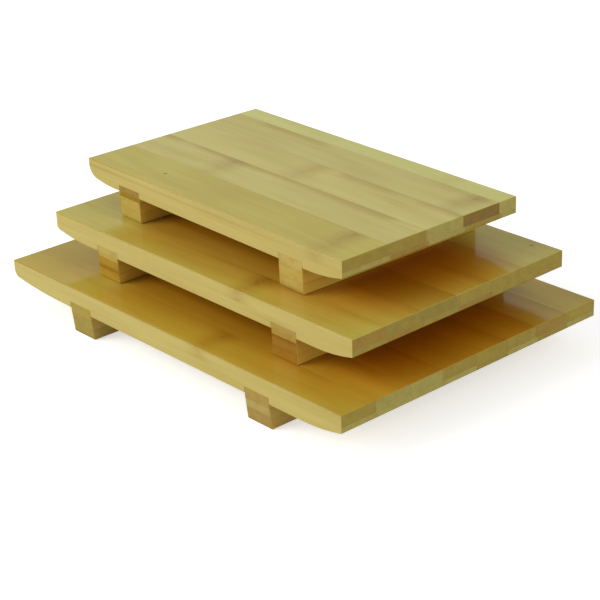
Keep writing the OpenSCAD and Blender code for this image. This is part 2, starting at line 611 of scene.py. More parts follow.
def new_group(
    name: str, inputs: dict[str, str], outputs: dict[str, str]
) -> tuple[bpy.types.NodeTree, Graph, bpy.types.NodeOutputs]:
    """Start a shader node group.

    Args:
        name: Name of the group.
        inputs: Socket type of each input, by name.
        outputs: Socket type of each output, by name.

    Returns:
        The group, a graph to build it with, and what the group is given.
    """
    group = bpy.data.node_groups.new(name, "ShaderNodeTree")
    for way, sockets in (("INPUT", inputs), ("OUTPUT", outputs)):
        for socket, kind in sockets.items():
            group.interface.new_socket(socket, in_out=way, socket_type=f"NodeSocket{kind}")
    graph = Graph(group)
    return group, graph, graph.add("NodeGroupInput").outputs


class BambooNodes:
    """The node groups that draw bamboo, each built once and shared by all its canes.

    Every group works in the cane's own frame: X along the grain, Y across the cane and Z through it, in mm.
    """

    def __init__(self, figure: Figure) -> None:
        """Build the groups in the order that they use each other."""
        self.figure = figure
        self.patch = self.build_patch()
        self.grain = self.build_grain()
        self.knuckle = self.build_knuckle()
        self.glue = self.build_glue()
        self.end = self.build_end()
        self.cane = self.build_cane()

    def place(self, graph: Graph, group: bpy.types.NodeTree, inputs: dict) -> bpy.types.NodeOutputs:
        """Place a group in a graph and return its outputs."""
        return graph.add("ShaderNodeGroup", inputs, node_tree=group).outputs

    def shifted(self, graph: Graph, place: Value, seed: Value) -> bpy.types.NodeSocket:
        """Move a cane's pattern away from its neighbours' by its seed."""
        many = graph.add("ShaderNodeCombineXYZ", {0: seed, 1: seed, 2: seed}).outputs[0]
        return graph.vector("ADD", place, graph.vector("MULTIPLY", many, SEED_STRIDE))

    def soft_patch(
        self, graph: Graph, place: Value, low: Value, high: Value, low_margin: Value, high_margin: Value
    ) -> bpy.types.NodeSocket:
        """Place a soft patch in a graph.

        Args:
            graph: The graph.
            place: Place in the patch's own frame, in mm.
            low: Its corner at the left and front.
            high: Its corner at the right and back.
            low_margin: How far it fades out to each side of its left and front edges.
            high_margin: How far it fades out to each side of its right and back edges.

        Returns:
            Its mask.
        """
        inputs = {
            "Place": place, "Low": low, "High": high, "Low margin": low_margin, "High margin": high_margin,
        }
        return self.place(graph, self.patch, inputs)["Mask"]

    def build_patch(self) -> bpy.types.NodeTree:
        """Draw a rectangle with soft edges, for a shaded part, a speck or a streak.

        Returns:
            The group.
        """
        group, graph, given = new_group(
            "Soft patch",
            {
                "Place": "Vector", "Low": "Vector", "High": "Vector",
                "Low margin": "Vector", "High margin": "Vector",
            },
            {"Mask": "Float"},
        )
        past_low = graph.vector("SUBTRACT", given["Place"], given["Low"])
        to_high = graph.vector("SUBTRACT", given["High"], given["Place"])
        left, front, _ = graph.parts(graph.vector("DIVIDE", past_low, given["Low margin"]))
        right, back, _ = graph.parts(graph.vector("DIVIDE", to_high, given["High margin"]))
        mask = graph.ramp(left, -1.0, 1.0)
        for inset in (front, right, back):
            mask = graph.sum("MULTIPLY", mask, graph.ramp(inset, -1.0, 1.0))
        graph.add("NodeGroupOutput", {"Mask": mask})
        return group

    def build_grain(self) -> bpy.types.NodeTree:
        """Draw the fine fibres, the slow drifts of tone and the dense wall along the cane's far edge.

        Returns:
            The group.
        """
        group, graph, given = new_group(
            "Bamboo grain",
            {"Place": "Vector", "Seed": "Float", "Across": "Float"},
            {"Fibres": "Float", "Drift": "Float", "Rind": "Float"},
        )
        place = self.shifted(graph, given["Place"], given["Seed"])
        fibres = graph.noise(place, self.figure.fibre_size, FIBRE_DETAIL)
        drift = graph.noise(place, self.figure.drift_size, DRIFT_DETAIL)
        stretches = graph.ramp(graph.noise(place, self.figure.rind_size), *STRETCH_SPAN)
        rind = graph.sum("MULTIPLY", graph.ramp(given["Across"], self.figure.rind_start, 1.0), stretches)
        graph.add("NodeGroupOutput", {"Fibres": fibres, "Drift": drift, "Rind": rind})
        return group

    def build_knuckle(self) -> bpy.types.NodeTree:
        """Draw the short marks where the cane's joint was, and the stain round them.

        Returns:
            The group.
        """
        group, graph, given = new_group(
            "Bamboo knuckle",
            {"Place": "Vector", "Seed": "Float", "Along": "Float", "Across": "Float"},
            {"Band": "Float", "Halo": "Float"},
        )
        place = self.shifted(graph, given["Place"], given["Seed"])
        wander = graph.swing(graph.noise(place, self.figure.wander_size), self.figure.wander)
        along = graph.parts(given["Place"])[0]
        away = graph.sum("ABSOLUTE", graph.sum("SUBTRACT", graph.sum("ADD", along, wander), given["Along"]))
        marks = graph.ramp(graph.noise(place, self.figure.fleck_size), *FLECK_SPAN)
        heavier = graph.ramp(given["Across"], 0.0, 1.0, NEAR_KNUCKLE, 1.0)
        band = graph.sum("MULTIPLY", graph.ramp(away, 0.0, self.figure.band, 1.0, 0.0), marks)
        halo = graph.ramp(away, 0.0, self.figure.halo, 1.0, 0.0)
        graph.add(
            "NodeGroupOutput",
            {"Band": graph.sum("MULTIPLY", band, heavier), "Halo": graph.sum("MULTIPLY", halo, heavier)},
        )
        return group

    def build_glue(self) -> bpy.types.NodeTree:
        """Find how far across its cane a place is, and the glue lines along the two edges.

        Returns:
            The group.
        """
        group, graph, given = new_group(
            "Glue line",
            {"Place": "Vector", "Near edge": "Float", "Far edge": "Float"},
            {"Across": "Float", "Line": "Float"},
        )
        y = graph.parts(given["Place"])[1]
        inset_near = graph.sum("SUBTRACT", y, given["Near edge"])
        inset_far = graph.sum("SUBTRACT", given["Far edge"], y)
        across = graph.sum("DIVIDE", inset_near, graph.sum("ADD", inset_near, inset_far))
        line = graph.ramp(graph.sum("MINIMUM", inset_near, inset_far), 0.0, self.figure.glue_width, 1.0, 0.0)
        graph.add("NodeGroupOutput", {"Across": across, "Line": line})
        return group

    def build_end(self) -> bpy.types.NodeTree:
        """Colour a cane's cut end: pores, clouds and one edge that is darker than the other.

        Returns:
            The group.
        """
        group, graph, given = new_group(
            "Bamboo end",
            {"Place": "Vector", "Seed": "Float", "Across": "Float", "End": "Color", "Lean": "Float"},
            {"Color": "Color", "Pores": "Float"},
        )
        place = self.shifted(graph, given["Place"], given["Seed"])
        bundles = graph.vector("DIVIDE", place, self.figure.bundle_size)
        cells = graph.add("ShaderNodeTexVoronoi", {"Vector": bundles, "Scale": 1.0})
        pores = graph.ramp(cells.outputs["Distance"], *PORE_SPAN)
        clouds = graph.ramp(graph.noise(place, self.figure.mottle_size, CLOUD_DETAIL), *CLOUD_SPAN)
        color = graph.stain(clouds, given["End"], CLOUD_STAIN)
        color = graph.stain(graph.sum("MULTIPLY", pores, PORE_STRENGTH), color, PORE_STAIN)
        towards_near = graph.sum("SUBTRACT", CANE_MIDDLE, given["Across"])
        lean = graph.ramp(graph.sum("MULTIPLY", towards_near, given["Lean"]), 0.0, CANE_MIDDLE)
        color = graph.stain(lean, color, END_LEAN_TONE)
        graph.add("NodeGroupOutput", {"Color": color, "Pores": pores})
        return group

    def build_cane(self) -> bpy.types.NodeTree:
        """Colour a cane: long grain on its sides and top, cut ends, knuckle and glue lines, and painted shade
        on the front arris.

        Returns:
            The group.
        """
        group, graph, given = new_group(
            "Bamboo cane",
            {
                "Place": "Vector", "Facing": "Vector", "Seed": "Float",
                "Side": "Color", "Top": "Color", "End": "Color",
                "Knuckle": "Float", "Knuckle depth": "Float",
                "Near edge": "Float", "Far edge": "Float",
                "Lean": "Float", "Rind depth": "Float", "End lean": "Float",
            },
            {"Color": "Color", "Roughness": "Float", "Height": "Float"},
        )
        spot = {"Place": given["Place"], "Seed": given["Seed"]}
        edges = {key: given[key] for key in ("Place", "Near edge", "Far edge")}
        glue = self.place(graph, self.glue, edges)
        grain = self.place(graph, self.grain, {**spot, "Across": glue["Across"]})
        knuckle = self.place(
            graph, self.knuckle, {**spot, "Along": given["Knuckle"], "Across": glue["Across"]}
        )
        end = self.place(
            graph,
            self.end,
            {**spot, "Across": glue["Across"], "End": given["End"], "Lean": given["End lean"]},
        )
        facing = graph.parts(given["Facing"])
        on_end = graph.ramp(graph.sum("ABSOLUTE", facing[0]), *END_SPAN)
        on_top = graph.ramp(facing[2], *TOP_SPAN)
        above_front = graph.ramp(facing[2], *ABOVE_FRONT_SPAN)
        on_round = graph.sum("MULTIPLY", above_front, graph.ramp(facing[2], *BELOW_TOP_SPAN))
        arris_painted_shade = graph.sum("MULTIPLY", on_round, graph.ramp(facing[1], *FRONT_SPAN))

        clean = graph.blend(on_top, given["Side"], given["Top"])
        tilt = graph.sum("MULTIPLY", graph.sum("SUBTRACT", glue["Across"], CANE_MIDDLE), given["Lean"])
        streaks = graph.sum("ADD", tilt, graph.swing(grain["Fibres"], self.figure.fibre_strength))
        drifts = graph.sum("ADD", streaks, graph.swing(grain["Drift"], self.figure.drift_strength))
        rind = graph.sum("MULTIPLY", grain["Rind"], given["Rind depth"])
        depth = graph.sum("MULTIPLY_ADD", rind, self.figure.rind_strength, drifts)
        long_grain = graph.stain(graph.ramp(depth, *GRAIN_SPAN), clean, DEEP_GRAIN)
        band = graph.sum("MULTIPLY", knuckle["Band"], given["Knuckle depth"])
        faint = graph.sum("MULTIPLY", given["Knuckle depth"], HALO_STRENGTH)
        halo = graph.sum("MULTIPLY", knuckle["Halo"], faint)
        long_grain = graph.stain(graph.sum("MAXIMUM", band, halo), long_grain, KNUCKLE_STAIN)

        color = graph.blend(on_end, long_grain, end["Color"])
        color = graph.stain(graph.sum("MULTIPLY", glue["Line"], GLUE_STRENGTH), color, GLUE_STAIN)
        # Painted shade on the front arris
        color = graph.stain(arris_painted_shade, color, ARRIS_PAINTED_SHADE)
        smoothness = graph.ramp(on_end, 0.0, 1.0, GRAIN_ROUGHNESS, END_ROUGHNESS)
        roughness = graph.sum("MULTIPLY_ADD", grain["Fibres"], ROUGHNESS_SPREAD, smoothness)
        height = graph.sum("SUBTRACT", grain["Fibres"], graph.sum("MULTIPLY", end["Pores"], on_end))
        graph.add("NodeGroupOutput", {"Color": color, "Roughness": roughness, "Height": height})
        return group


@dataclass(frozen=True)
class BambooFinish:
    """Lacquered bamboo for one stave or slat.

    Attributes:
        nodes: The shared node groups.
        lacquer: The clear finish.
        side: Colour of the long grain.
        top: Colour of the long grain on the board's top.
        covers: The parts of the top with painted shade.
    """

    nodes: BambooNodes
    lacquer: Lacquer
    side: Colour
    top: Colour
    covers: tuple[Cover, ...] = ()

    def top_colour(self, graph: Graph, place: bpy.types.NodeSocket, cane: Cane) -> Value:
        """Colour the long grain on the board's top, with painted shade under the board above and a pin knot.

        Args:
            graph: Graph of the material.
            place: Place in the cane's own frame, in mm.
            cane: The cane's looks.

        Returns:
            The colour.
        """
        colour = cane.tinted(self.top)
        if self.covers:
            open_sky = graph.add(
                "ShaderNodeAmbientOcclusion", {"Distance": SHADE_HEIGHT}, samples=OCCLUSION_SAMPLES
            )
            near_above = graph.ramp(open_sky.outputs["AO"], OPEN_SKY, SHADED_SKY)
        # Painted shade: blend the top towards the shade's colour where the board above is near
        for cover in self.covers:
            margins = cover.shade.low_margin, cover.shade.high_margin
            mask = self.nodes.soft_patch(graph, place, cover.low, cover.high, *margins)
            mask = graph.sum("MULTIPLY", mask, near_above)
            colour = graph.blend(mask, colour, cane.tinted(cover.shade.colour))
        if cane.speck is not None:
            centre = Vector(cane.speck)
            spread = Vector((SPECK_RADIUS,) * 3)
            mask = self.nodes.soft_patch(graph, place, centre - spread, centre + spread, spread, spread)
            colour = graph.blend(mask, colour, SPECK_COLOUR)
        return colour

    def side_colour(self, graph: Graph, place: bpy.types.NodeSocket, cane: Cane) -> Value:
        """Colour the long grain on the cane's sides, with a streak.

        Args:
            graph: Graph of the material.
            place: Place in the cane's own frame, in mm.
            cane: The cane's looks.

        Returns:
            The colour.
        """
        colour = cane.shaded(self.side)
        if cane.streak is not None:
            along, across, through = graph.parts(place)
            upright = graph.add("ShaderNodeCombineXYZ", {0: along, 1: through, 2: across}).outputs[0]
            end = Vector(cane.streak).xzy
            left, height, depth = STREAK_SPREAD
            low = end - Vector((left, height, depth))
            high = end + Vector((0, height, depth))
            mask = self.nodes.soft_patch(graph, upright, low, high, STREAK_MARGIN, STREAK_MARGIN)
            colour = graph.blend(mask, colour, cane.shaded(STREAK_COLOUR))
        return colour

    def material(
        self, name: str, cane: Cane, seed: float, to_cane: Matrix, origin: Vector, edges: tuple[float, float]
    ) -> bpy.types.Material:
        """Make the material of one piece.

        Args:
            name: Name of the piece.
            cane: Its looks.
            seed: Number that tells its pattern from the others'.
            to_cane: Turn from the part's frame to the cane's own.
            origin: The cane frame's origin in the part's frame.
            edges: Where the cane's near and far edges are, across its own frame in mm.

        Returns:
            The material.
        """
        material = bpy.data.materials.new(name)
        graph = fresh_graph(material)
        where = graph.add("ShaderNodeTexCoord").outputs
        turn = to_cane.to_euler("XYZ")
        place = graph.add(
            "ShaderNodeMapping",
            {
                "Vector": where["Object"], "Location": -(to_cane @ origin) / MM,
                "Rotation": turn, "Scale": (1 / MM,) * 3,
            },
        ).outputs[0]
        facing = graph.add(
            "ShaderNodeMapping", {"Vector": where["Normal"], "Rotation": turn}, vector_type="VECTOR"
        )
        bamboo = self.nodes.place(
            graph,
            self.nodes.cane,
            {
                "Place": place, "Facing": facing.outputs[0], "Seed": seed,
                "Side": self.side_colour(graph, place, cane), "Top": self.top_colour(graph, place, cane),
                "End": cane.shaded(cane.end.value),
                "Knuckle": FAR_AWAY if cane.knuckle is None else cane.knuckle, "Knuckle depth": cane.depth,
                "Near edge": edges[0], "Far edge": edges[1],
                "Lean": cane.lean, "Rind depth": cane.rind, "End lean": cane.end_lean,
            },
        )
        relief = graph.add(
            "ShaderNodeBump",
            {
                "Height": bamboo["Height"], "Strength": self.lacquer.relief_strength,
                "Distance": self.lacquer.relief,
            },
        )
        surface = graph.add(
            "ShaderNodeBsdfPrincipled",
            {
                "Base Color": bamboo["Color"], "Roughness": bamboo["Roughness"], "Normal": relief.outputs[0],
                "Specular IOR Level": self.lacquer.under_gloss,
                "Coat Weight": self.lacquer.coat, "Coat Roughness": self.lacquer.coat_roughness,
            },
        )
        graph.add("ShaderNodeOutputMaterial", {"Surface": surface.outputs[0]})
        return material


@dataclass
class Board:
    """One geta board: a slab of two plies of staves, standing on two feet of stacked slats.

    Attributes:
        name: The board's name in the part.
        turn_degrees: How it was turned when it was set down on the stack.
        left_sweep: Length of the curve under its left end.
        right_sweep: Length of the curve under its right end.
        left_tip_round: Radius under its left tip.
        back_round: Radius along the back edge of its top.
        front_left_round: Radius of its upright corner at the front left.
        back_corner_round: Radius of its upright corners at the back.
        foot_rake: How far the foot ends lean in at the bottom.
        top: Colour of the long grain on its top.
        staves: Looks of the staves of each ply, from the front.
        slats: Looks of the slats of each foot, from the floor up.
        above: Name of the board that stands on it, if there is one.
    """

    name: str
    turn_degrees: float
    left_sweep: float
    right_sweep: float
    left_tip_round: float
    back_round: float
    front_left_round: float
    back_corner_round: float
    foot_rake: float
    top: Colour
    staves: dict[Ply, tuple[Cane, ...]]
    slats: dict[Side, tuple[Cane, ...]]
    above: Optional[str] = None

    def __post_init__(self) -> None:
        """Find the board's turn and the boxes of its slab and feet, with the turn taken out."""
        self.turn = Matrix.Rotation(math.radians(self.turn_degrees), 3, "Z")
        staves = [self.stave_node(ply, i) for ply in Ply for i in range(len(self.staves[ply]))]
        self.slab_box = self.flat_box(*staves)
        self.foot_boxes = {
            side: self.flat_box(*[self.slat_node(side, slat) for slat in Slat]) for side in Side
        }
        low, high = self.slab_box
        self.middle = (low + high) / 2

    @property
    def body(self) -> str:
        """The CAD body that the board's pieces ride on."""
        return f"{self.name}_board"

    def stave_node(self, ply: Ply, i: int) -> str:
        """Name of the i-th stave of a ply in the part, counted from 0."""
        return f"{self.name}_{ply.value}_stave_{i + 1}"

    def slat_node(self, side: Side, slat: Slat) -> str:
        """Name of a slat in the part."""
        return f"{self.name}_{side.value}_foot_{slat.value}_slat"

    def flat_box(self, *nodes: str) -> tuple[Vector, Vector]:
        """Find the box round some nodes of the part with the board's turn taken out.

        Args:
            *nodes: Names of the nodes.

        Returns:
            Its lowest and highest corners.
        """
        back = self.turn.transposed()
        points = [back @ corner.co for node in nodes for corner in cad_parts[node].data.vertices]
        return Vector(map(min, zip(*points))), Vector(map(max, zip(*points)))

    def shape_slab(self) -> bpy.types.Object:
        """Shape the whole slab: ends swept up, edges rounded.

        Returns:
            The slab, before it is sawn.
        """
        low, high = self.slab_box
        slab = block(f"{self.name}_slab", low, high)
        with editing(slab):
            self.sweep_up(slab, low.x, 1, self.left_sweep, self.left_tip_round)
            self.sweep_up(slab, high.x, -1, self.right_sweep, RIGHT_TIP_ROUND)
            bpy.ops.mesh.select_all(action="SELECT")
            bpy.ops.mesh.dissolve_limited(angle_limit=FLAT_ANGLE)

        def above(a: Vector, b: Vector) -> bool:
            return on_plane(a, b, 2, high.z)

        def below(a: Vector, b: Vector) -> bool:
            return max(a.z, b.z) < high.z - NEAR

        def edge_of(level: EdgeTest, axis: int, place: float) -> EdgeTest:
            return lambda a, b: level(a, b) and on_plane(a, b, axis, place)

        round_edges(
            slab,
            [
                (FRONT_ROUND, edge_of(above, 1, low.y)),
                (self.back_round, edge_of(above, 1, high.y)),
                (END_ROUND, edge_of(above, 0, low.x)),
                (END_ROUND, edge_of(above, 0, high.x)),
                (UNDER_EASE, edge_of(below, 1, low.y)),
                (UNDER_EASE, edge_of(below, 1, high.y)),
            ],
        )
        self.round_corners(slab)
        return slab

    def round_corners(self, slab: bpy.types.Object) -> None:
        """Round the upright corners of the slab, one facet after another."""
        low, high = self.slab_box
        corners = (
            (low.x, low.y, self.front_left_round),
            (high.x, low.y, CORNER_EASE),
            (low.x, high.y, self.back_corner_round),
            (high.x, high.y, self.back_corner_round),
        )
        for x, y, radius in corners:
            outward = Vector((math.copysign(1, x - self.middle.x), math.copysign(1, y - self.middle.y), 0))
            centre = Vector((x, y, 0)) - radius * outward
            for k in range(1, ROUND_SEGMENTS):
                angle = math.pi / 2 * k / ROUND_SEGMENTS
                facing = Vector((outward.x * math.cos(angle), outward.y * math.sin(angle), 0))
                saw(slab, centre + radius * facing, facing)

    def sweep_up(
        self, slab: bpy.types.Object, end: float, inward: int, length: float, tip_round: float
    ) -> None:
        """Sweep the underside of one end of the slab up in an arc that ends in a round under the tip.

        Args:
            slab: The slab, open for editing.
            end: Where the end is along the board.
            inward: The way from the end to the middle, 1 or -1.
            length: Length of the arc and the round along the board.
            tip_round: Radius of the round.
        """
        low, high = self.slab_box
        rise = high.z - low.z - TIP_THICKNESS
        radius = (length**2 + rise**2) / (2 * rise)
        arc = length - tip_round
        alongs = [arc * k / SWEEP_STATIONS for k in range(SWEEP_STATIONS + 1)]
        lifts = [radius - math.sqrt(radius**2 - along**2) for along in alongs]
        for k in range(1, ROUND_SEGMENTS + 1):
            angle = math.pi / 2 * k / ROUND_SEGMENTS
            alongs.append(arc + tip_round * math.sin(angle))
            lifts.append(lifts[SWEEP_STATIONS] + tip_round * (1 - math.cos(angle)))
        places = [end + inward * (length - along) for along in alongs]
        for place in places[:-1]:
            score(Vector((place, 0, 0)), Vector((1, 0, 0)))
        for place, lift in zip(places, lifts):
            pick_corners(slab, lambda at: abs(at.x - place) < NEAR and abs(at.z - low.z) < NEAR)
            bpy.ops.transform.translate(value=(0, 0, lift))

    def cut_housings(self, ply: bpy.types.Object) -> None:
        """Cut the housings for the two feet across the underside of the under ply."""
        slab_low, slab_high = self.slab_box
        for foot_low, foot_high in self.foot_boxes.values():
            spare = slab_high.y - slab_low.y
            cutter = block(
                "housing_cutter",
                Vector((foot_low.x - HOUSING_CLEARANCE, slab_low.y - spare, foot_low.z)),
                Vector((foot_high.x + HOUSING_CLEARANCE, slab_high.y + spare, foot_high.z)),
            )
            modify(ply, "BOOLEAN", operation="DIFFERENCE", solver="EXACT", object=cutter)
            discard(cutter)

    def build_staves(self) -> dict[str, bpy.types.Object]:
        """Saw the slab into plies and the plies into staves.

        Returns:
            The staves, by the name of the node that each stands for.
        """
        slab = self.shape_slab()
        made = {}
        for ply in Ply:
            blank = copy_of(slab, f"{self.name}_{ply.value}_ply")
            joint = self.flat_box(self.stave_node(Ply.UPPER, 0))[0]
            saw(blank, joint, Vector((0, 0, 1 if ply is Ply.UNDER else -1)))
            if ply is Ply.UNDER:
                self.cut_housings(blank)
            last = len(self.staves[ply]) - 1
            for i in range(last + 1):
                node = self.stave_node(ply, i)
                near, far = self.flat_box(node)
                stave = copy_of(blank, f"{node}_bamboo")
                if i > 0:
                    saw(stave, near, Vector((0, -1, 0)))
                if i < last:
                    saw(stave, far, Vector((0, 1, 0)))
                made[node] = stave
            discard(blank)
        discard(slab)
        return made

    def build_feet(self) -> dict[str, bpy.types.Object]:
        """Shape each foot, with raked ends below the slab, and saw it into slats.

        Returns:
            The slats, by the name of the node that each stands for.
        """
        made = {}
        underside = self.slab_box[0].z
        for side, (low, high) in self.foot_boxes.items():
            foot = block(f"{self.name}_{side.value}_foot", low, high)
            with editing(foot):
                score(Vector((0, 0, underside)), Vector((0, 0, 1)))
                for face, rake in ((low.y, self.foot_rake), (high.y, -self.foot_rake)):
                    pick_corners(foot, lambda at: abs(at.y - face) < NEAR and abs(at.z - low.z) < NEAR)
                    bpy.ops.transform.translate(value=(0, rake, 0))

            def on_floor(a: Vector, b: Vector) -> bool:
                return on_plane(a, b, 2, low.z)

            def lengthwise(a: Vector, b: Vector) -> bool:
                return abs(a.x - b.x) < NEAR and abs(a.y - b.y) > abs(a.z - b.z)

            def upright(a: Vector, b: Vector) -> bool:
                return min(a.z, b.z) < underside - NEAR and abs(a.z - b.z) > NEAR

            round_edges(
                foot,
                [
                    (FOOT_ROUND, lambda a, b: on_floor(a, b) and lengthwise(a, b)),
                    (FOOT_TOE_ROUND, lambda a, b: on_floor(a, b) and not lengthwise(a, b)),
                    (FOOT_EASE, upright),
                ],
            )
            for slat in Slat:
                node = self.slat_node(side, slat)
                bottom, top = self.flat_box(node)
                piece = copy_of(foot, f"{node}_bamboo")
                if slat is not Slat.LOWER:
                    saw(piece, bottom, Vector((0, 0, -1)))
                if slat is not Slat.UPPER:
                    saw(piece, top, Vector((0, 0, 1)))
                made[node] = piece
            discard(foot)
        return made

    def seat(self, piece: bpy.types.Object, node: str, material: bpy.types.Material) -> None:
        """Give a finished piece its bamboo, turn it into its place and let it stand for its node.

        Args:
            piece: The piece.
            node: The node that it stands for.
            material: Its bamboo.
        """
        piece.data.materials.clear()
        piece.data.materials.append(material)
        choose(piece)
        piece.rotation_euler.z = math.radians(self.turn_degrees)
        bpy.ops.object.transform_apply(location=True, rotation=True, scale=True)
        smooth(piece)
        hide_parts(node)
        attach(piece, self.body)
        log.info("%s stands for %s, %d faces", piece.name, node, len(piece.data.polygons))

    def build(self, nodes: BambooNodes, lacquer: Lacquer, seeds: Iterator[int]) -> None:
        """Build the board's pieces and dress them.

        Args:
            nodes: The bamboo node groups.
            lacquer: The clear finish.
            seeds: Numbers that tell the canes' patterns apart.
        """
        finishes = {
            Ply.UNDER: BambooFinish(nodes, lacquer, LONG_GRAIN, LONG_GRAIN),
            Ply.UPPER: BambooFinish(nodes, lacquer, LONG_GRAIN, self.top, tuple(self.find_covers())),
        }
        for node, stave in self.build_staves().items():
            self.dress_stave(stave, node, finishes, next(seeds))
        foot_finish = BambooFinish(nodes, lacquer, FOOT_GRAIN, FOOT_GRAIN)
        for node, slat in self.build_feet().items():
            self.dress_slat(slat, node, foot_finish, next(seeds))

    def named_box(self, start: str) -> tuple[Vector, Vector]:
        """Find the box round all nodes of the part whose names start alike, with the turn taken out."""
        return self.flat_box(*[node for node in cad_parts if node.startswith(start)])

    def find_covers(self) -> Iterator[Cover]:
        """Find the parts of the top that the board above shades.

        Yields:
            Each part, or nothing for a board with no other on it.
        """
        if self.above is None:
            return
        slab_low, slab_high = self.named_box(f"{self.above}_upper_stave")
        for shade in SHADES:
            foot_low, foot_high = self.named_box(f"{self.above}_{shade.foot.value}_foot")
            outer_face = foot_low.x if shade.foot is Side.LEFT else foot_high.x
            left_front = Vector((outer_face, slab_low.y, slab_low.z))
            low = (left_front - self.middle) / MM + Vector(shade.low)
            high = (slab_high - self.middle) / MM + Vector(shade.high)
            yield Cover(tuple(low), tuple(high), shade)

    def dress_stave(
        self, stave: bpy.types.Object, node: str, finishes: dict[Ply, BambooFinish], seed: int
    ) -> None:
        """Give a stave its bamboo and seat it.

        Args:
            stave: The stave.
            node: The node that it stands for.
            finishes: Finish of each ply.
            seed: Number that tells its pattern from the others'.
        """
        _, ply_name, _, number = node.split("_")
        ply = Ply(ply_name)
        cane = self.staves[ply][int(number) - 1]
        edges = tuple((at.y - self.middle.y) / MM for at in self.flat_box(node))
        to_cane = self.turn.transposed()
        material = finishes[ply].material(stave.name, cane, seed, to_cane, self.turn @ self.middle, edges)
        self.seat(stave, node, material)

    def dress_slat(self, slat: bpy.types.Object, node: str, finish: BambooFinish, seed: int) -> None:
        """Give a slat its bamboo, with the grain across the board, and seat it.

        Args:
            slat: The slat.
            node: The node that it stands for.
            finish: Its finish.
            seed: Number that tells its pattern from the others'.
        """
        _, side_name, _, slat_name, _ = node.split("_")
        cane = self.slats[Side(side_name)][list(Slat).index(Slat(slat_name))]
        edges = tuple((at.z - self.middle.z) / MM for at in self.flat_box(node))
        to_cane = GRAIN_ACROSS @ self.turn.transposed()
        material = finish.material(slat.name, cane, seed, to_cane, self.turn @ self.middle, edges)
        self.seat(slat, node, material)


